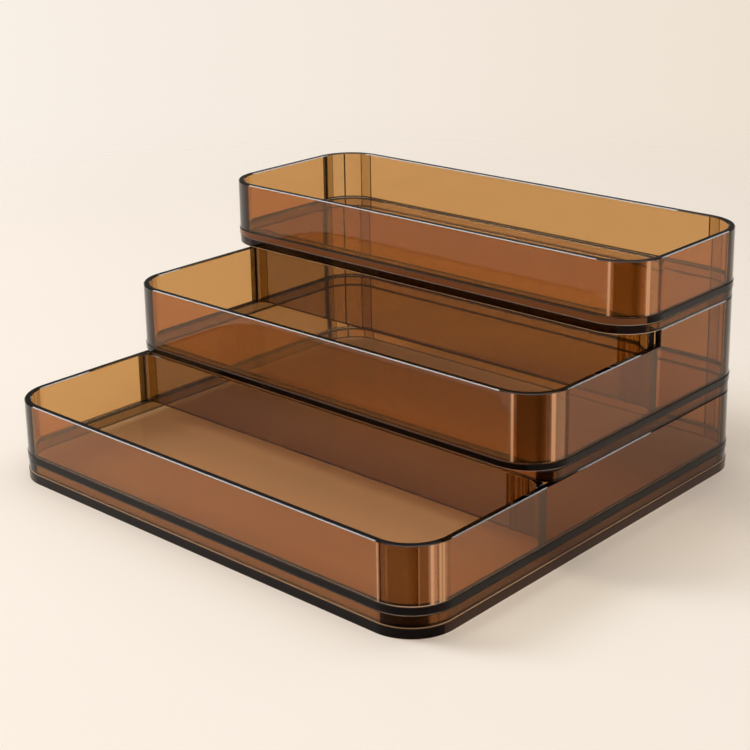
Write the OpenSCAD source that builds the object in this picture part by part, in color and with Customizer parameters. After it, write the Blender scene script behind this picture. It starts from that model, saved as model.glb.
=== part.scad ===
// Three-tier vanity organizer of clear brown acrylic.
// Three trays of one width stand on each other, flush at the back and at both sides, each shallower
// than the one below, so a strip of every tray stays open in front of the tray above it.
// Every tray is bonded from a wall loop, a floor plate and a low skirt; the two lower trays also hold
// an upright divider that closes their open front compartment.
// X runs across the front, Y from the front (negative) to the back, Z up from the table.

/* [Trays] */
// Width over the floor plates, the same for every tray
tray_w = 300; // [220:2:400]
// Depth of the bottom tray
bottom_d = 278; // [262:2:360]
// Depth of the middle tray
middle_d = 190; // [180:2:210]
// Depth of the top tray
top_d = 112; // [90:2:130]
// Radius of the upright corners in plan
corner_r = 25; // [16:1:34]
// Thickness of the walls, skirts and dividers
wall_t = 3.6; // [2.4:0.2:4.6]
// Overhang of the plates beyond the walls, all of it bevelled
plate_lip = 0.4; // [0.2:0.1:0.8]
// Bevel polished on both edges of each rim
rim_bevel = 0.5; // [0.2:0.1:0.8]

/* [Heights] */
// Thickness of the plate that the organizer stands on
base_t = 5.4; // [3:0.2:8]
// Height of the skirt under the bottom tray's floor
bottom_skirt_h = 6.2; // [5:0.2:12]
// Thickness of the bottom tray's floor
bottom_floor_t = 4.2; // [3:0.2:6]
// Height of the bottom tray's wall above its floor
bottom_wall_h = 29.8; // [20:0.2:60]
// Height of the skirt under the middle tray's floor
middle_skirt_h = 6; // [5:0.2:12]
// Thickness of the middle tray's floor
middle_floor_t = 3.6; // [3:0.2:6]
// Height of the middle tray's wall in front of its divider
middle_wall_h = 35.4; // [20:0.2:60]
// Rise of the middle tray's wall behind its divider, which carries the top tray
rear_rise = 8.6; // [4:0.2:16]
// Height of the skirt under the top tray's floor
top_skirt_h = 5; // [4.6:0.2:12]
// Thickness of the top tray's floor
top_floor_t = 4; // [3:0.2:6]
// Height of the top tray's wall above its floor
top_wall_h = 29.3; // [20:0.1:60]

/* [Dividers] */
// Distance from the bottom tray's front to its divider
bottom_divider_in = 97; // [92:1:110]
// Distance from the middle tray's front to its divider
middle_divider_in = 102; // [84:1:110]
// Radius of the divider's forward-curving ends and of the middle skirt's front corners
cove_r = 9; // [7:0.5:14]
// Length trimmed off the thin tip of each curved end
cove_tip = 3; // [2:0.2:4]

/* [Hidden] */
$fn = 96;
brown = [0.52, 0.31, 0.17, 0.62];
dark_brown = [0.26, 0.15, 0.09, 0.8];
// The walls stand in from the plates by the lip on every side
wall_w = tray_w - 2 * plate_lip;
wall_r = corner_r - plate_lip;
inner_w = wall_w - 2 * wall_t;
// All trays end on one plane at the back
back_y = bottom_d / 2;
wall_back = back_y - plate_lip;
bottom_front = back_y - bottom_d;
middle_front = back_y - middle_d;
top_front = back_y - top_d;
bottom_divider_y = bottom_front + bottom_divider_in;
middle_divider_y = middle_front + middle_divider_in;
// Levels from the table upwards
bottom_skirt_z = base_t;
bottom_floor_z = bottom_skirt_z + bottom_skirt_h;
bottom_wall_z = bottom_floor_z + bottom_floor_t;
middle_skirt_z = bottom_wall_z + bottom_wall_h;
middle_floor_z = middle_skirt_z + middle_skirt_h;
middle_wall_z = middle_floor_z + middle_floor_t;
top_skirt_z = middle_wall_z + middle_wall_h + rear_rise;
top_floor_z = top_skirt_z + top_skirt_h;
top_wall_z = top_floor_z + top_floor_t;

// Repeats a right-hand shape on the left
module both_sides() {
    children();
    mirror([1, 0, 0]) children();
}

// Sections lie left of the y axis, with their outer face on it.
// Section of a skirt, square on both edges
module skirt_section(h) {
    translate([-wall_t, 0]) square([wall_t, h]);
}

// Section of a wall whose top edges are bevelled
module rim_section(h) {
    polygon([[-wall_t, 0], [0, 0], [0, h - rim_bevel], [-rim_bevel, h],
             [rim_bevel - wall_t, h], [-wall_t, h - rim_bevel]]);
}

// Section of a plate's border, bevelled up to the face of the wall that stands on it
module border_section(thick) {
    polygon([[-corner_r, 0], [-plate_lip, 0], [0, plate_lip], [0, thick - plate_lip],
             [-plate_lip, thick], [-corner_r, thick]]);
}

// Straight stretch of the section given as a child, outer face towards +X, running along +Y
module run(length) {
    translate([0, length, 0]) rotate([90, 0, 0]) linear_extrude(length) children();
}

// Quarter turn of the section given as a child, from +X round to +Y, outer radius r
module corner(r) {
    rotate_extrude(angle = 90) translate([r, 0]) children();
}

// Front part of a loop, from the front plane y0 back to y1, with front corners of radius r
module loop_front(half_w, y0, y1, r) {
    both_sides() {
        translate([half_w - r, y0 + r, 0]) rotate(-90) corner(r) children();
        translate([half_w, y0 + r, 0]) run(y1 - y0 - r) children();
    }
    translate([r - half_w, y0, 0]) rotate(-90) run(2 * (half_w - r)) children();
}

// Rear part of a loop, from y0 back to the rear plane y1, with rear corners of radius r
module loop_rear(half_w, y0, y1, r) {
    both_sides() {
        translate([half_w - r, y1 - r, 0]) corner(r) children();
        translate([half_w, y0, 0]) run(y1 - r - y0) children();
    }
    translate([half_w - r, y1, 0]) rotate(90) run(2 * (half_w - r)) children();
}

// Loop of the section given as a child under or on a plate that starts at front_y
module wall_loop(front_y) {
    joint_y = (front_y + back_y) / 2;
    loop_front(wall_w / 2, front_y + plate_lip, joint_y, wall_r) children();
    loop_rear(wall_w / 2, joint_y, wall_back, wall_r) children();
}

// Flat plate with round corners and bevelled edges, from its front plane to the back
module plate(front_y, thick) {
    joint_y = (front_y + back_y) / 2;
    loop_front(tray_w / 2, front_y, joint_y, corner_r) border_section(thick);
    loop_rear(tray_w / 2, joint_y, back_y, corner_r) border_section(thick);
    translate([corner_r - tray_w / 2, front_y + corner_r, 0])
        cube([tray_w - 2 * corner_r, back_y - front_y - 2 * corner_r, thick]);
}

// Curved end of a divider: it turns forward and runs out along the side wall
module curved_end() {
    intersection() {
        translate([inner_w / 2 - cove_r, -cove_r]) difference() {
            circle(cove_r + wall_t);
            circle(cove_r);
        }
        translate([inner_w / 2 - cove_r, cove_tip - cove_r]) square([cove_r, cove_r + wall_t - cove_tip]);
    }
}

// Upright divider whose front face lies at y = 0
module divider(h) {
    linear_extrude(h) {
        translate([cove_r - inner_w / 2, 0]) square([inner_w - 2 * cove_r, wall_t]);
        both_sides() curved_end();
    }
}

module base_plate() {
    color(dark_brown) plate(bottom_front, base_t);
}

module bottom_skirt() {
    color(brown) translate([0, 0, bottom_skirt_z]) wall_loop(bottom_front) skirt_section(bottom_skirt_h);
}

module bottom_floor() {
    color(dark_brown) translate([0, 0, bottom_floor_z]) plate(bottom_front, bottom_floor_t);
}

module bottom_wall() {
    color(brown) translate([0, 0, bottom_wall_z]) wall_loop(bottom_front) rim_section(bottom_wall_h);
}

module bottom_divider() {
    color(brown) translate([0, bottom_divider_y, bottom_wall_z]) divider(bottom_wall_h);
}

// The middle skirt starts over the bottom tray's divider, so the tray above it overhangs in front
module middle_skirt() {
    joint_y = (bottom_divider_y + back_y) / 2;
    color(brown) translate([0, 0, middle_skirt_z]) {
        loop_front(wall_w / 2, bottom_divider_y, joint_y, cove_r) skirt_section(middle_skirt_h);
        loop_rear(wall_w / 2, joint_y, wall_back, wall_r) skirt_section(middle_skirt_h);
    }
}

module middle_floor() {
    color(dark_brown) translate([0, 0, middle_floor_z]) plate(middle_front, middle_floor_t);
}

// The middle wall is low round the open compartment and rises behind the divider
module middle_wall() {
    color(brown) translate([0, 0, middle_wall_z]) {
        loop_front(wall_w / 2, middle_front + plate_lip, middle_divider_y, wall_r) rim_section(middle_wall_h);
        loop_rear(wall_w / 2, middle_divider_y, wall_back, wall_r) rim_section(middle_wall_h + rear_rise);
    }
}

module middle_divider() {
    color(brown) translate([0, middle_divider_y, middle_wall_z]) divider(middle_wall_h + rear_rise);
}

module top_skirt() {
    color(brown) translate([0, 0, top_skirt_z]) wall_loop(top_front) skirt_section(top_skirt_h);
}

module top_floor() {
    color(dark_brown) translate([0, 0, top_floor_z]) plate(top_front, top_floor_t);
}

module top_wall() {
    color(brown) translate([0, 0, top_wall_z]) wall_loop(top_front) rim_section(top_wall_h);
}

base_plate();
bottom_skirt();
bottom_floor();
bottom_wall();
bottom_divider();
middle_skirt();
middle_floor();
middle_wall();
middle_divider();
top_skirt();
top_floor();
top_wall();
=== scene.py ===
# Looks of a three-tier vanity organizer of clear brown acrylic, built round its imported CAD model.
# Metres, in the CAD frame: X across the front, Y from front to back, Z up from the table.
import math

import bmesh
import bpy
from mathutils import Matrix, Vector


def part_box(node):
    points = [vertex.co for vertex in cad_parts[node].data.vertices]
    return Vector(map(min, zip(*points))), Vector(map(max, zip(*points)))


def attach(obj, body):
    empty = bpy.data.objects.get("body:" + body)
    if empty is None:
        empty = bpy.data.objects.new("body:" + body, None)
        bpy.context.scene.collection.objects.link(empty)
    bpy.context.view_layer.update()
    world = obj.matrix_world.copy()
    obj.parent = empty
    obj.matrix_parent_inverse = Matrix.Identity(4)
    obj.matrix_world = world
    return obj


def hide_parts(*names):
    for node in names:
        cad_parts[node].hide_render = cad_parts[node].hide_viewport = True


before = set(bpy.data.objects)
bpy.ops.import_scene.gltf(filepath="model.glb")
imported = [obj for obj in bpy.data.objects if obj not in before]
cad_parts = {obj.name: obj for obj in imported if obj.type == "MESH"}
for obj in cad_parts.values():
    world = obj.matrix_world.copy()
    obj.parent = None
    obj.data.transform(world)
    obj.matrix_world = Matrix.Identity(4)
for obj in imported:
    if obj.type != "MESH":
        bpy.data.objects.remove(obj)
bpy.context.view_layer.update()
scene = bpy.context.scene
MM = 0.001

# Sizes that the CAD model names
CORNER_R = 25 * MM
PLATE_LIP = 0.4 * MM
WALL_R = CORNER_R - PLATE_LIP
WALL_T = 3.6 * MM
COVE_R = 9 * MM
COVE_TIP = 3 * MM
MIDDLE_FRONT_H = 35.4 * MM

# Sizes that only the looks need
BOND_GAP = 0.03 * MM             # air left between bonded faces, so that no two faces coincide
RIM_BEVEL = 0.45 * MM            # flat polished bevel on every edge of a wall or skirt
PLATE_BEVEL = 0.28 * MM
DIVIDER_BEVEL = 0.15 * MM
CORNER_STEPS = 28                # facets in a quarter turn
END_BAND = 15 * MM               # stretch beside a divider's curved right end, which carries painted streaks
BORDER_IN = 6 * MM               # from a divider's back to where the bottom wall's sides turn to the painted shade of the rear
SLACK = 0.01 * MM                # for comparing places
BEVEL_FROM = math.radians(35)    # edges sharper than this are bevelled
SMOOTH_TO = math.radians(30)     # edges flatter than this are shaded smooth

# What a face is, by the share of its normal along an axis
UPRIGHT, LEVEL = 0.3, 0.9        # along Z: upright below the first, level above the second, else a bevel
FACES_FRONT = 0.45               # least share towards the front for a face to belong to the front
FACES_SIDE = 0.97                # least share towards a side for a plate's edge to belong to that side
ENDS_STEP = 0.9                  # least share along Y for a face to be the upright end of a step

# Kinds of face, stored as the face attribute "kind", each with looks of its own
(CLEAR,         # plain acrylic
 COVER,         # flat faces of the two upper floors, which shade what lies under them
 OUTER,         # outside of the bottom wall, up to its border
 UPPER,         # outside of the two upper walls, front half
 OUTER_BACK,    # outside of a wall or skirt, rear half
 INNER,         # inside of a wall or skirt, rear half
 FOOT,          # outside of a skirt, front half
 RIM,           # rims with their bevels, and other edges of the walls
 FRONT,         # front face of a divider
 DARK_SIDE,     # edge of a plate, and the dark front of the top skirt
 DARK_BEVEL,    # bevel that shows as a thin dark line
 BROWN_SIDE,    # front edge of the top floor
 DEEP_SIDE,     # sides of the base plate
 LOW_EDGE,      # lower bevel, painted pale and matt as a highlight line
 ) = range(14)


# ---------------------------------------------------------------- shapes

def arc(cx, cy, r, start, steps=CORNER_STEPS):
    """Quarter turn, anticlockwise from the start angle in degrees."""
    return [(cx + r * math.cos(math.radians(start + 90 * i / steps)),
             cy + r * math.sin(math.radians(start + 90 * i / steps))) for i in range(steps + 1)]


def outline(half_w, y0, y1, r_front, r_back, cut_y=None):
    """Round-cornered rectangle, anticlockwise from the front right corner. Each side gets a point at cut_y."""
    pts = arc(half_w - r_front, y0 + r_front, r_front, -90)
    if cut_y is not None:
        pts.append((half_w, cut_y))
    pts += arc(half_w - r_back, y1 - r_back, r_back, 0)
    pts += arc(r_back - half_w, y1 - r_back, r_back, 90)
    if cut_y is not None:
        pts.append((-half_w, cut_y))
    return pts + arc(r_front - half_w, y0 + r_front, r_front, 180)


def finish_mesh(name, bm, bevel, kind_of, turn_of):
    """Bevels the sharp edges and marks each face's kind and how far round its corner each point lies."""
    bmesh.ops.recalc_face_normals(bm, faces=bm.faces)
    sharp = [e for e in bm.edges if len(e.link_faces) == 2 and e.calc_face_angle() > BEVEL_FROM]
    bmesh.ops.bevel(bm, geom=sharp, offset=bevel, offset_type="OFFSET", segments=1, affect="EDGES",
                    clamp_overlap=True)
    mesh = bpy.data.meshes.new(name)
    bm.to_mesh(mesh)
    bm.free()
    mesh.shade_smooth()
    mesh.set_sharp_from_angle(angle=SMOOTH_TO)
    kind = mesh.attributes.new("kind", "FLOAT", "FACE")
    turn = mesh.attributes.new("turn", "FLOAT", "CORNER")
    for face in mesh.polygons:
        kind.data[face.index].value = kind_of(face.normal, face.center)
        for k in face.loop_indices:
            turn.data[k].value = turn_of(mesh.vertices[mesh.loops[k].vertex_index].co, face.center)
    ob = bpy.data.objects.new(name, mesh)
    scene.collection.objects.link(ob)
    even = ob.modifiers.new("even_normals", "WEIGHTED_NORMAL")
    even.weight = 100            # the large faces decide
    even.keep_sharp = True
    return ob


def is_upright(normal):
    return abs(normal.z) < UPRIGHT


def is_level(normal):
    return abs(normal.z) > LEVEL


def quarter(u, v):
    """Share of a quarter turn, from 0 on the u axis to 1 on the v axis."""
    return math.atan2(max(v, 0), max(u, 0)) / (math.pi / 2)


def loop_turn(half_w, y0, y1, r_front, r_back):
    """Gives 0 on the sides, 1 on the front and back, and the share of the turn between."""
    def turn_of(p, _centre):
        if p.y < (y0 + y1) / 2:
            return quarter(abs(p.x) - (half_w - r_front), y0 + r_front - p.y)
        return quarter(abs(p.x) - (half_w - r_back), p.y - (y1 - r_back))
    return turn_of


def prism(name, pts, z0, z1, bevel, kind_of, turn_of):
    """Upright solid over an outline."""
    bm = bmesh.new()
    low = [bm.verts.new((x, y, z0)) for x, y in pts]
    high = [bm.verts.new((x, y, z1)) for x, y in pts]
    n = len(pts)
    bm.faces.new(low[::-1])
    bm.faces.new(high)
    for i in range(n):
        j = (i + 1) % n
        bm.faces.new((low[i], low[j], high[j], high[i]))
    return finish_mesh(name, bm, bevel, kind_of, turn_of)


def ring(name, outer, inner, z0, z1, turn_of, step_y=None, z2=None, front=UPPER, low_edge=DARK_BEVEL,
         high_edge=RIM, dark_front=False):
    """Wall loop between two outlines of as many points. Behind step_y it rises from z1 to z2."""
    bm = bmesh.new()
    n = len(outer)
    # At each point: outer low, outer high, inner low, inner high
    cols = [[bm.verts.new((*p, z)) for p in (outer[i], inner[i]) for z in (z0, z1)] for i in range(n)]
    # Behind the step: outer top, inner top
    up = {}
    if step_y is not None:
        for i in range(n):
            if outer[i][1] >= step_y - SLACK:
                up[i] = [bm.verts.new((*p, z2)) for p in (outer[i], inner[i])]
    for i in range(n):
        j = (i + 1) % n
        a, b = cols[i], cols[j]
        bm.faces.new((a[0], b[0], b[1], a[1]))
        bm.faces.new((a[2], a[3], b[3], b[2]))
        bm.faces.new((a[0], a[2], b[2], b[0]))
        if i in up and j in up:
            c, d = up[i], up[j]
            bm.faces.new((a[1], b[1], d[0], c[0]))
            bm.faces.new((a[3], c[1], d[1], b[3]))
            bm.faces.new((c[0], d[0], d[1], c[1]))
        else:
            bm.faces.new((a[1], b[1], b[3], a[3]))
            for k in {i, j} & set(up):           # the upright end of the step
                bm.faces.new((cols[k][1], cols[k][3], up[k][1], up[k][0]))
    mid_y = (outer[0][1] + max(y for _, y in outer)) / 2

    def kind_of(normal, centre):
        at_step = step_y is not None and abs(centre.y - step_y) < WALL_T and abs(normal.y) > ENDS_STEP
        outward = normal.x * centre.x + normal.y * (centre.y - mid_y) > 0
        if outward and not is_upright(normal) and not is_level(normal):
            return high_edge if normal.z > 0 else low_edge
        if not is_upright(normal) or at_step:
            return RIM
        # A dark front is painted near black, like a plate's edge
        if dark_front and outward and -normal.y > FACES_FRONT:
            return DARK_SIDE
        if centre.y < mid_y + MM:                # a side that nothing cuts counts as front
            return front if outward else CLEAR
        return OUTER_BACK if outward else INNER

    return finish_mesh(name, bm, RIM_BEVEL, kind_of, turn_of)


def divider_outline(half_in, y):
    """Plan of a divider whose front face lies at y, its ends curving forward to the side walls."""
    flat_x = half_in - COVE_R
    wall_x = half_in - BOND_GAP
    rear_r = COVE_R + WALL_T
    meets_wall = math.degrees(math.acos((wall_x - flat_x) / rear_r))
    tip = math.degrees(math.acos(COVE_TIP / COVE_R))
    steps = CORNER_STEPS
    right = []
    for i in range(steps + 1):                       # rear face, from the flat to the side wall
        a = math.radians(90 - (90 - meets_wall) * i / steps)
        right.append((flat_x + rear_r * math.cos(a), y - COVE_R + rear_r * math.sin(a)))
    right.append((wall_x, y - COVE_R + COVE_TIP))
    for i in range(steps + 1):                       # front face, back from the tip to the flat
        a = math.radians(90 - tip + tip * i / steps)
        right.append((flat_x + COVE_R * math.cos(a), y - COVE_R + COVE_R * math.sin(a)))
    right.append((flat_x - END_BAND, y))
    left = [(-x, yy) for x, yy in right[::-1]]
    return (right + left)[::-1]


# ---------------------------------------------------------------- nodes

def rgba(value):
    """Value for a colour socket, from a colour or a grey level. A socket is handed on, to be linked."""
    if isinstance(value, bpy.types.NodeSocket):
        return value
    return (*value, 1) if isinstance(value, tuple) else (value, value, value, 1)


class Nodes:
    """Short hand for building the nodes of a material or a world."""

    def __init__(self, owner, output):
        owner.use_nodes = True
        self.tree = owner.node_tree
        self.tree.nodes.clear()
        self.out = self.add(output)

    def add(self, kind, inputs=(), **fields):
        """New node, with its inputs set, or linked where the value is another node's output."""
        node = self.tree.nodes.new(kind)
        for key, value in fields.items():
            setattr(node, key, value)
        for key, value in dict(inputs).items():
            if isinstance(value, bpy.types.NodeSocket):
                self.tree.links.new(value, node.inputs[key])
            else:
                node.inputs[key].default_value = value
        return node

    def show(self, node, slot="Surface"):
        self.tree.links.new(node.outputs[0], self.out.inputs[slot])

    def calc(self, how, *terms):
        return self.add("ShaderNodeMath", dict(enumerate(terms)), operation=how).outputs[0]

    def blend(self, how, share, a, b):
        """Two colours put together. 6, 7 and 2 are the node's colour sockets."""
        node = self.add("ShaderNodeMix", {0: share, 6: rgba(a), 7: rgba(b)}, data_type="RGBA", blend_type=how)
        return node.outputs[2]

    def ramp(self, value, stops):
        """Colour at a value from 0 to 1, on straight lines between the stops."""
        node = self.add("ShaderNodeValToRGB", {0: value})
        marks = node.color_ramp.elements
        while len(marks) < len(stops):
            marks.new(1.0)
        for mark, (place, colour) in zip(marks, stops):
            mark.position = place
            mark.color = rgba(colour)
        return node.outputs[0]


# ---------------------------------------------------------------- acrylic

# Each stop below is a place and the colour or grey level there.
# Painted streaks of light and shade along a rounded corner, from the side face (0) to the front face (1),
# standing in for the curved walls acting as lenses; they scale the light let through and the reflections.
OUTER_STREAKS = [
    (0.0, 1), (0.208, 1), (0.22, 0.35), (0.235, 1), (0.33, 0.9), (0.347, 0.34), (0.443, (0.34, 0.34, 0.3)),
    (0.465, (0.1, 0.06, 0.014)), (0.485, (0.15, 0.11, 0.05)), (0.6, (0.27, 0.26, 0.17)),
    (0.72, (0.27, 0.25, 0.18)), (0.905, (0.3, 0.27, 0.2)), (0.917, 0.004), (0.928, 0.004), (0.94, 0.9),
    (1.0, 1)]
# Painted highlight along a rounded corner: share of the face made matt and pale, standing in for gathered light
OUTER_PAINTED_HIGHLIGHT = [
    (0.0, 0), (0.09, 0.06), (0.12, 0.3), (0.14, 0.65), (0.155, 0.35), (0.17, 0.35), (0.185, 0.65),
    (0.2, 0.5), (0.212, 0.1), (0.235, 0.2), (0.26, 0.25), (0.285, 0.75), (0.305, 0.75), (0.32, 0.2),
    (0.345, 0), (0.443, 0), (0.45, 0.4), (0.457, 0.4), (0.464, 0), (0.825, 0), (0.833, 0.25),
    (0.841, 0.25), (0.85, 0), (0.938, 0), (0.95, 0.2), (0.962, 0.5), (0.974, 0.1), (1.0, 0)]
# The same on the two upper trays, whose walls have less behind them
UPPER_STREAKS = [
    (0.0, 1), (0.036, 0.95), (0.045, 0.6), (0.054, 0.95), (0.33, 0.9), (0.345, (0.5, 0.42, 0.34)),
    (0.38, (0.4, 0.33, 0.2)), (0.41, (0.22, 0.17, 0.06)), (0.45, (0.14, 0.1, 0.03)),
    (0.48, (0.15, 0.11, 0.03)), (0.53, (0.24, 0.19, 0.08)), (0.735, (0.25, 0.18, 0.07)), (0.755, 0.8),
    (0.78, 1), (1.0, 1)]
UPPER_PAINTED_HIGHLIGHT = [
    (0.0, 0), (0.085, 0), (0.115, 0.22), (0.24, 0.2), (0.258, 0.75), (0.3, 0.75), (0.315, 0.1), (0.33, 0),
    (0.36, 0), (0.368, 0.3), (0.376, 0), (0.775, 0), (0.79, 0.7), (0.808, 0.7), (0.825, 0.08), (0.86, 0),
    (1.0, 0)]
# The same outside, behind the dividers: painted shade halves the sides, and a painted dark line shows where
# they turn
BACK_STREAKS = [(0.0, 0.5), (0.006, 0.01), (0.1, 0.01), (0.12, 0.85), (1.0, 1)]
# A skirt has the first table's streaks times these shares of painted shade: dark, darkest round its front
# corners
FOOT_SHADE = [(0.0, 0.16), (0.05, 0.3), (0.3, 0.35), (0.36, 0.02), (0.9, 0.02), (0.94, 0.5), (1.0, 0.75)]
# Painted streaks of light and shade inside a rear corner, from the side face (0) to the rear face (1)
INNER_STREAKS = [
    (0.0, 1), (0.006, 0.003), (0.03, 0.003), (0.045, (0.3, 0.25, 0.15)), (0.17, (0.38, 0.3, 0.18)),
    (0.185, 0.02), (0.2, 1), (0.415, 1), (0.425, 0.002), (0.445, 0.002), (0.455, 1),
    (0.755, (0.9, 0.8, 0.7)), (0.763, 0.03), (0.775, 0.03), (0.785, (0.5, 0.42, 0.3)),
    (0.965, (0.55, 0.45, 0.3)), (0.975, 0.003), (0.994, 0.003), (1.0, 1)]
# The same painted streaks on a divider's front, from the side wall (0) round its curved end (0.5) and over the
# stretch beside it (1)
END_STREAKS = [
    (0.0, 0.004), (0.03, 0.004), (0.045, (0.5, 0.36, 0.16)), (0.195, (0.6, 0.45, 0.2)), (0.205, 0.004),
    (0.215, 0.004), (0.225, 1), (0.305, 1), (0.312, 0.01), (0.322, (0.5, 0.36, 0.16)),
    (0.475, (0.5, 0.36, 0.16)), (0.485, 0.003), (0.5, 0.003), (0.512, (0.3, 0.16, 0.04)),
    (0.56, (0.3, 0.16, 0.04)), (0.58, (0.8, 0.5, 0.18)), (0.6, (0.3, 0.15, 0.03)),
    (0.66, (0.7, 0.42, 0.14)), (0.68, (0.25, 0.12, 0.03)), (0.76, (0.8, 0.5, 0.18)),
    (0.78, (0.2, 0.09, 0.02)), (0.86, (0.35, 0.18, 0.05)), (0.88, (0.75, 0.45, 0.15)),
    (0.9, (0.2, 0.09, 0.02)), (0.94, (0.25, 0.12, 0.03)), (0.955, 1), (1.0, 1)]
# Where along a side, its corner and the front a face counts as round, for the painted shade below
CORNER_ONLY = [(0.03, 0), (0.08, 1), (0.95, 1), (0.98, 0)]
# Painted shade: how dark a rounded corner gets as it turns away from the eye, where glass mirrors and bends
# most
FRONT_AWAY = [(0.33, 0), (0.4, 1)]
BACK_AWAY = [(0.6, 0), (0.7, 1)]

OUTLINE_PAINTED_SHADE = (0.012, 0.012, 0.014)       # painted shade of such a corner
# Painted shade: rims and other wall edges let almost no light through
RIM_TINT = (0.012, 0.009, 0.008)
FRONT_SURFACE = (0.58, 0.68, 0.9)          # of a divider's front
PAINTED_HIGHLIGHT_TINT = (1.0, 0.5, 0.27)               # of the painted highlight along a corner
# Painted highlight on a lower bevel
LOW_EDGE_TINT = (1.0, 0.86, 0.7)
# Painted shade on edges: matt brown on the top floor's front, dark brown on the base plate's sides, near black
# on plate edges
BROWN_SIDE_TINT = (0.22, 0.08, 0.03)
DEEP_SIDE_TINT = (0.055, 0.024, 0.013)
DARK_SIDE_TINT = (0.004, 0.003, 0.003)
DARK_SIDE_SHEEN = (0.16, 0.145, 0.16)
INSIDE_SHEEN = (0.8, 0.62, 0.45)           # of a plate's edge, met from inside the plate
COVER_SHADOW = (0.9, 0.9, 0.9)             # what a face of the two upper floors leaves of a lamp's light
PAINTED_EDGE_SHARE = 0.88                           # matt share of the painted edges: pale highlight on lower bevels, brown on the top floor's front and base sides
BEVEL_ROUGHNESS = 0.5                      # of a dark bevel, so that it mirrors no lamp
IOR = 1.49
DENSITY_SPARE = 1.1                        # density over the strongest absorption, so that no colour is black
KIND_SLACK = 0.25                          # for telling kinds apart
WAVES_PER_M = 9.0                          # very slight waviness of the polished faces
WAVE_STRENGTH = 0.03
WAVE_DEPTH = 2 * MM


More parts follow.
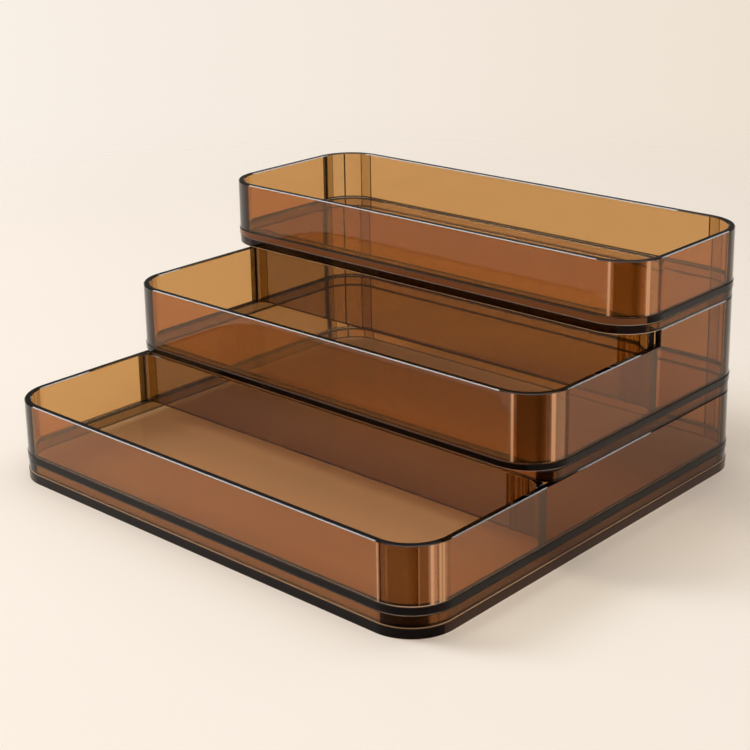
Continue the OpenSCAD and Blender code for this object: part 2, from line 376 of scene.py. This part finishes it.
def acrylic(name, surface, mirror, shadow, veil, per_metre):
    """Clear tinted acrylic: colour of its surface, of its reflections and of what each face leaves of a lamp's
    light, the share that each face scatters, and what a metre of it takes off each colour, as exponents."""
    mat = bpy.data.materials.new(name)
    m = Nodes(mat, "ShaderNodeOutputMaterial")
    kind = m.add("ShaderNodeAttribute", attribute_name="kind").outputs["Fac"]
    turn = m.add("ShaderNodeAttribute", attribute_name="turn").outputs["Fac"]
    half_turn = m.calc("MULTIPLY", turn, 0.5)

    def where(value):
        """1 on the faces of this kind, 0 on the others."""
        return m.calc("COMPARE", kind, value, KIND_SLACK)

    def by_kind(others, colours):
        """A colour for the faces of each kind that is named, and one for the others."""
        for value, colour in colours.items():
            others = m.blend("MIX", where(value), others, colour)
        return others

    # Light that passes each face, with its painted streaks of light and shade
    painted_streaks = by_kind(1, {
        OUTER: m.ramp(turn, OUTER_STREAKS),
        UPPER: m.ramp(turn, UPPER_STREAKS),
        OUTER_BACK: m.ramp(turn, BACK_STREAKS),
        FOOT: m.blend("MULTIPLY", 1, m.ramp(turn, OUTER_STREAKS), m.ramp(turn, FOOT_SHADE)),
        INNER: m.ramp(turn, INNER_STREAKS),
        FRONT: m.ramp(half_turn, END_STREAKS)})
    tint = m.blend("MULTIPLY", 1, painted_streaks, by_kind(surface, {FRONT: FRONT_SURFACE}))

    # Painted shade: corners that turn away from the eye are darkened, standing in for how bent clear walls look
    away = m.add("ShaderNodeLayerWeight", {"Blend": 0.5}).outputs["Facing"]
    corner = m.ramp(turn, CORNER_ONLY)
    front_corner = by_kind(0, {OUTER: corner, UPPER: corner, FOOT: corner})
    front_dark = m.blend("MULTIPLY", 1, m.ramp(away, FRONT_AWAY), front_corner)
    back_dark = m.blend("MULTIPLY", 1, m.ramp(away, BACK_AWAY), by_kind(0, {OUTER_BACK: corner}))
    dark = m.blend("ADD", 1, front_dark, back_dark)
    tint = m.blend("MIX", dark, tint, OUTLINE_PAINTED_SHADE)
    # Painted shade: rims, plate edges and dark bevels let almost no light through
    tint = by_kind(tint, {RIM: RIM_TINT, DARK_SIDE: DARK_SIDE_TINT, DARK_BEVEL: DARK_SIDE_TINT})

    # Painted highlights on corners and lower bevels, and painted brown edges, as a matt share of the face
    painted_share = by_kind(0, {OUTER: m.ramp(turn, OUTER_PAINTED_HIGHLIGHT), UPPER: m.ramp(turn, UPPER_PAINTED_HIGHLIGHT)})
    painted_share = m.blend("MIX", dark, painted_share, 0)
    tint = m.blend("MIX", painted_share, tint, PAINTED_HIGHLIGHT_TINT)
    painted_edges = {LOW_EDGE: LOW_EDGE_TINT, BROWN_SIDE: BROWN_SIDE_TINT, DEEP_SIDE: DEEP_SIDE_TINT}
    painted_share = by_kind(painted_share, dict.fromkeys(painted_edges, PAINTED_EDGE_SHARE))
    tint = by_kind(tint, painted_edges)

    # Reflections. A plate's edge is met from inside by light that it reflects in full
    inside = m.add("ShaderNodeNewGeometry").outputs["Backfacing"]
    sheen = by_kind(m.blend("MULTIPLY", 1, painted_streaks, mirror), {
        RIM: 1,
        DARK_SIDE: m.blend("MIX", inside, DARK_SIDE_SHEEN, INSIDE_SHEEN),
        DARK_BEVEL: DARK_SIDE_SHEEN,
        BROWN_SIDE: DARK_SIDE_SHEEN,
        DEEP_SIDE: DARK_SIDE_SHEEN,
        LOW_EDGE: LOW_EDGE_TINT})

    place = m.add("ShaderNodeTexCoord").outputs["Object"]
    wave = m.add("ShaderNodeTexNoise", {"Vector": place, "Scale": WAVES_PER_M, "Detail": 1.0}).outputs["Fac"]
    height = m.calc("MULTIPLY", wave, m.calc("SUBTRACT", 1, where(RIM)))
    bump = m.add("ShaderNodeBump", {"Height": height, "Strength": WAVE_STRENGTH, "Distance": WAVE_DEPTH})
    glass = m.add("ShaderNodeBsdfPrincipled", {
        "Base Color": tint, "IOR": IOR, "Specular Tint": sheen, "Normal": bump.outputs["Normal"],
        "Roughness": m.calc("MULTIPLY", where(DARK_BEVEL), BEVEL_ROUGHNESS),
        "Transmission Weight": m.calc("SUBTRACT", 1 - veil, painted_share)})

    # Light on its way from a lamp or a matt surface goes straight through, which keeps shadows clean
    path = m.add("ShaderNodeLightPath").outputs
    straight = m.calc("MAXIMUM", path["Is Shadow Ray"], path["Is Diffuse Ray"])
    through = m.add("ShaderNodeBsdfTransparent", {"Color": by_kind(shadow, {COVER: COVER_SHADOW})})
    m.show(m.add("ShaderNodeMixShader", {0: straight, 1: glass.outputs[0], 2: through.outputs[0]}))

    # Absorption takes off density times what the colour lacks of 1
    density = max(per_metre) * DENSITY_SPARE
    lacks = [v / density for v in per_metre]
    left = tuple(1 - v for v in lacks)
    m.show(m.add("ShaderNodeVolumeAbsorption", {"Color": rgba(left), "Density": density}), "Volume")
    return mat


wall_acrylic = acrylic("wall_acrylic", surface=(1, 0.68, 0.38), mirror=(0.5, 0.5, 0.5),
                       shadow=(0.9, 0.915, 0.93), veil=0.045, per_metre=(104, 152, 250))
plate_acrylic = acrylic("plate_acrylic", surface=(1, 0.88, 0.72), mirror=(0.8, 0.75, 0.7),
                        shadow=(0.92, 0.925, 0.93), veil=0.02, per_metre=(10, 28, 48))


# ---------------------------------------------------------------- pieces

def node_span(node):
    """Lowest and highest z of a node, drawn in from the faces it is bonded to."""
    lo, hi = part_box(node)
    return lo.z + BOND_GAP, hi.z - BOND_GAP


def keep(ob, node, body, mat):
    ob.data.materials.append(mat)
    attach(ob, body)
    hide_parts(node)


def add_plate(node, body, flat_kind=CLEAR, front_kind=DARK_SIDE, side_kind=DARK_SIDE):
    """Plate with round corners, with the kinds of its flat faces and of its edge in front and at the sides."""
    lo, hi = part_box(node)
    z0, z1 = node_span(node)

    def kind_of(normal, _centre):
        if is_level(normal):
            return flat_kind
        if not is_upright(normal):
            return DARK_BEVEL if normal.z > 0 else LOW_EDGE
        if abs(normal.x) > FACES_SIDE:
            return side_kind
        return front_kind if -normal.y > FACES_FRONT else DARK_SIDE

    ob = prism(node + "_polished", outline(hi.x, lo.y, hi.y, CORNER_R, CORNER_R), z0, z1, PLATE_BEVEL,
               kind_of, loop_turn(hi.x, lo.y, hi.y, CORNER_R, CORNER_R))
    keep(ob, node, body, plate_acrylic)


def add_loop(node, body, r_front=WALL_R, step=None, border_y=None, **kinds):
    """Wall or skirt. A step is the y behind which it rises and the z it rises from. Where it has no step,
    its sides may change their looks at border_y."""
    lo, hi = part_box(node)
    z0, z1 = node_span(node)
    step_y, step_z = step or (None, z1)
    cut_y = border_y if step is None else step_y
    outer = outline(hi.x, lo.y, hi.y, r_front, WALL_R, cut_y)
    inner = outline(hi.x - WALL_T, lo.y + WALL_T, hi.y - WALL_T, r_front - WALL_T, WALL_R - WALL_T, cut_y)
    turn_of = loop_turn(hi.x, lo.y, hi.y, r_front, WALL_R)
    ob = ring(node + "_polished", outer, inner, z0, step_z, turn_of, step_y, z1, **kinds)
    keep(ob, node, body, wall_acrylic)


def add_divider(node, wall, body):
    """Divider between the side walls of its tray, with painted streaks of light and shade in front."""
    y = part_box(node)[1].y - WALL_T
    half_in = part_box(wall)[1].x - WALL_T
    flat_x = half_in - COVE_R

    def kind_of(normal, centre):
        if not is_upright(normal):
            return RIM
        from_axis = math.hypot(max(abs(centre.x) - flat_x, 0), centre.y - y + COVE_R)
        return CLEAR if from_axis > COVE_R + WALL_T / 2 else FRONT

    def turn_of(p, centre):
        if flat_x - END_BAND < centre.x < flat_x and p.x < flat_x + SLACK:
            return 1 + (flat_x - p.x) / END_BAND
        if abs(centre.x) < flat_x:
            return 2
        return quarter(abs(p.x) - flat_x, p.y - (y - COVE_R))

    ob = prism(node + "_polished", divider_outline(half_in, y), *node_span(node), DIVIDER_BEVEL,
               kind_of, turn_of)
    keep(ob, node, body, wall_acrylic)


add_plate("base_plate", "bottom_tray", side_kind=DEEP_SIDE)
add_loop("bottom_skirt", "bottom_tray", front=FOOT, high_edge=DARK_BEVEL)
add_plate("bottom_floor", "bottom_tray")
add_loop("bottom_wall", "bottom_tray", border_y=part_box("bottom_divider")[1].y - BORDER_IN,
         front=OUTER, low_edge=LOW_EDGE)
add_divider("bottom_divider", "bottom_wall", "bottom_tray")

middle_step = (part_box("middle_divider")[1].y - WALL_T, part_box("middle_wall")[0].z + MIDDLE_FRONT_H)
add_loop("middle_skirt", "middle_tray", r_front=COVE_R, front=FOOT, high_edge=DARK_BEVEL)
add_plate("middle_floor", "middle_tray", flat_kind=COVER)
add_loop("middle_wall", "middle_tray", step=middle_step)
add_divider("middle_divider", "middle_wall", "middle_tray")

add_loop("top_skirt", "top_tray", front=FOOT, low_edge=LOW_EDGE, high_edge=DARK_BEVEL, dark_front=True)
add_plate("top_floor", "top_tray", flat_kind=COVER, front_kind=BROWN_SIDE)
add_loop("top_wall", "top_tray")


# ---------------------------------------------------------------- stage, light and camera

# Camera fitted to the photograph's edges: its place, its turn, and its lens and centre row in pixels
CAMERA_AT = Vector((0.56706, -0.61582, 0.36348))
YAW, PITCH, ROLL = math.radians(42.58), math.radians(16.0), math.radians(-1.0)
PHOTO_PX = 750
FOCAL_PX = 1615.99
CENTRE_ROW = 254.03
SENSOR_MM = 36
VIEW_END = 100                         # farthest distance drawn

TABLE_HALF = 1.2
TABLE_NEAR, TABLE_FAR = 0.55, 1.1      # the table fades into the background between these distances
TABLE_TONES = (0.94, 0.87, 0.79), (0.92, 0.845, 0.765)
TABLE_CLOUDS_PER_M = 1.6
TABLE_ROUGHNESS = 0.22
TABLE_IOR = 1.3

PALE_LEFT = (0.965, 0.888, 0.815)      # background in the left and in the right of the photograph
PALE_RIGHT = (0.84, 0.738, 0.624)
TO_THE_RIGHT = (0.736, 0.677, 0)       # level direction across the photograph
PALE_CHANGES = 0.3                     # share of it, either way, within which the tone changes
DIM = (0.13, 0.12, 0.11)               # what the rims mirror
OVERHEAD = (1.52, 1.47, 1.41)          # light from above
# By height over the horizon, as a sine: where pale gives way to dim, and dim to the light overhead
PALE_TO_DIM = [(0.14, 0), (0.22, 1)]
DIM_TO_OVERHEAD = [(0.72, DIM), (0.85, OVERHEAD)]

# Strip softboxes: distance from the origin, length as a share of what the rim mirrors, widths and radiances
STRIP_AWAY = 2.6
STRIP_LENGTH_SHARE = 1.2
FRONT_STRIP = (0.42, 10)
RIGHT_STRIP = (0.29, 5)
LEFT_STRIP = (0.16, 8)

BOUNCES = 32                           # light crosses up to a dozen walls on its way
CLEAR_BOUNCES = 48


def table_material():
    mat = bpy.data.materials.new("stage_table")
    m = Nodes(mat, "ShaderNodeOutputMaterial")
    place = m.add("ShaderNodeTexCoord").outputs["Object"]
    cloud = m.add("ShaderNodeTexNoise", {"Vector": place, "Scale": TABLE_CLOUDS_PER_M, "Detail": 3.0})
    top = m.add("ShaderNodeBsdfPrincipled", {
        "Base Color": m.blend("MIX", cloud.outputs["Fac"], *TABLE_TONES),
        "Roughness": TABLE_ROUGHNESS, "IOR": TABLE_IOR})
    away = m.add("ShaderNodeVectorMath", {0: place}, operation="LENGTH").outputs["Value"]
    gone = m.add("ShaderNodeMapRange", {0: away, 1: TABLE_NEAR, 2: TABLE_FAR}, interpolation_type="SMOOTHSTEP")
    clear = m.add("ShaderNodeBsdfTransparent")
    m.show(m.add("ShaderNodeMixShader", {0: gone.outputs[0], 1: top.outputs[0], 2: clear.outputs[0]}))
    return mat


def add_table():
    corners = [(x * TABLE_HALF, y * TABLE_HALF, 0) for x, y in ((-1, -1), (1, -1), (1, 1), (-1, 1))]
    mesh = bpy.data.meshes.new("table")
    mesh.from_pydata(corners, [], [(0, 1, 2, 3)])
    ob = bpy.data.objects.new("table", mesh)
    scene.collection.objects.link(ob)
    ob.data.materials.append(table_material())


def add_world():
    """Pale up to a little over the horizon, dim above it so that rims reflect dark, and light overhead."""
    world = bpy.data.worlds.new("studio")
    scene.world = world
    m = Nodes(world, "ShaderNodeOutputWorld")
    way = m.add("ShaderNodeTexCoord").outputs["Generated"]
    height = m.add("ShaderNodeSeparateXYZ", {0: way}).outputs["Z"]
    across = m.add("ShaderNodeVectorMath", {0: way, 1: TO_THE_RIGHT}, operation="DOT_PRODUCT").outputs["Value"]
    right = m.add("ShaderNodeMapRange", {0: across, 1: -PALE_CHANGES, 2: PALE_CHANGES}).outputs[0]
    pale = m.blend("MIX", right, PALE_LEFT, PALE_RIGHT)
    sky = m.blend("MIX", m.ramp(height, PALE_TO_DIM), pale, m.ramp(height, DIM_TO_OVERHEAD))
    seen = m.blend("MIX", m.add("ShaderNodeLightPath").outputs["Is Camera Ray"], sky, pale)
    m.show(m.add("ShaderNodeBackground", {"Color": seen, "Strength": 1.0}))


def mirrored(point, normal):
    """Place of a softbox that a bevel at the point, with this normal, mirrors to the camera."""
    look = (point - CAMERA_AT).normalized()
    ray = look - 2 * look.dot(normal) * normal
    along = point.dot(ray)
    return point + ray * (math.sqrt(along ** 2 - point.dot(point) + STRIP_AWAY ** 2) - along)


def strip_softbox(name, start, end, width, radiance):
    """Softbox from one place to another and a little beyond, facing the organizer."""
    lamp = bpy.data.lights.new(name, "AREA")
    lamp.shape = "RECTANGLE"
    lamp.size = (end - start).length * STRIP_LENGTH_SHARE
    lamp.size_y = width
    lamp.energy = radiance * math.pi * lamp.size * lamp.size_y
    ob = bpy.data.objects.new(name, lamp)
    back = ((start + end) / 2).normalized()
    across = (end - start - (end - start).dot(back) * back).normalized()
    turn = Matrix((across, back.cross(across), back)).transposed().to_4x4()
    ob.matrix_world = Matrix.Translation((start + end) / 2) @ turn
    scene.collection.objects.link(ob)


def add_softboxes():
    """Strips that the bevels of the front and right rims, and of the left ones inside, mirror as fine lines."""
    front_bevel = Vector((0, -1, 1)).normalized()
    right_bevel = Vector((1, 0, 1)).normalized()
    rim_z = {"bottom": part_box("bottom_wall")[1].z, "middle": middle_step[1], "top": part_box("top_wall")[1].z}
    behind = {"bottom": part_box("middle_wall")[0].y, "middle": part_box("top_wall")[0].y,
              "top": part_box("top_wall")[1].y}
    for tray, z in rim_z.items():
        lo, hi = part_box(tray + "_wall")
        y0, y1 = lo.y + CORNER_R, behind[tray]
        for place, start, end, normal, strip in (
                ("front", (lo.x + CORNER_R, lo.y), (hi.x - CORNER_R, lo.y), front_bevel, FRONT_STRIP),
                ("right", (hi.x, y0), (hi.x, y1), right_bevel, RIGHT_STRIP),
                ("left", (lo.x + WALL_T, y0), (lo.x + WALL_T, y1), right_bevel, LEFT_STRIP)):
            strip_softbox(f"{tray}_{place}_strip", mirrored(Vector((*start, z)), normal),
                          mirrored(Vector((*end, z)), normal), *strip)


def add_camera():
    """The photograph's camera. A shift brings its centre row, counted from the top, to its place."""
    look = Vector((-math.sin(YAW) * math.cos(PITCH), math.cos(YAW) * math.cos(PITCH), -math.sin(PITCH)))
    right = Vector((math.cos(YAW), math.sin(YAW), 0))
    up = right.cross(look)
    right_rolled = right * math.cos(ROLL) + up * math.sin(ROLL)
    up_rolled = up * math.cos(ROLL) - right * math.sin(ROLL)
    lens = bpy.data.cameras.new("photo_camera")
    lens.sensor_width = SENSOR_MM
    lens.lens = SENSOR_MM * FOCAL_PX / PHOTO_PX
    lens.shift_y = (CENTRE_ROW - PHOTO_PX / 2) / PHOTO_PX
    lens.clip_end = VIEW_END
    ob = bpy.data.objects.new("photo_camera", lens)
    axes = Matrix((right_rolled, up_rolled, -look)).transposed().to_4x4()
    ob.matrix_world = Matrix.Translation(CAMERA_AT) @ axes
    scene.collection.objects.link(ob)
    scene.camera = ob


add_table()
add_world()
add_softboxes()
add_camera()
scene.view_settings.view_transform = "Standard"
scene.cycles.max_bounces = BOUNCES
scene.cycles.transmission_bounces = BOUNCES
scene.cycles.transparent_max_bounces = CLEAR_BOUNCES
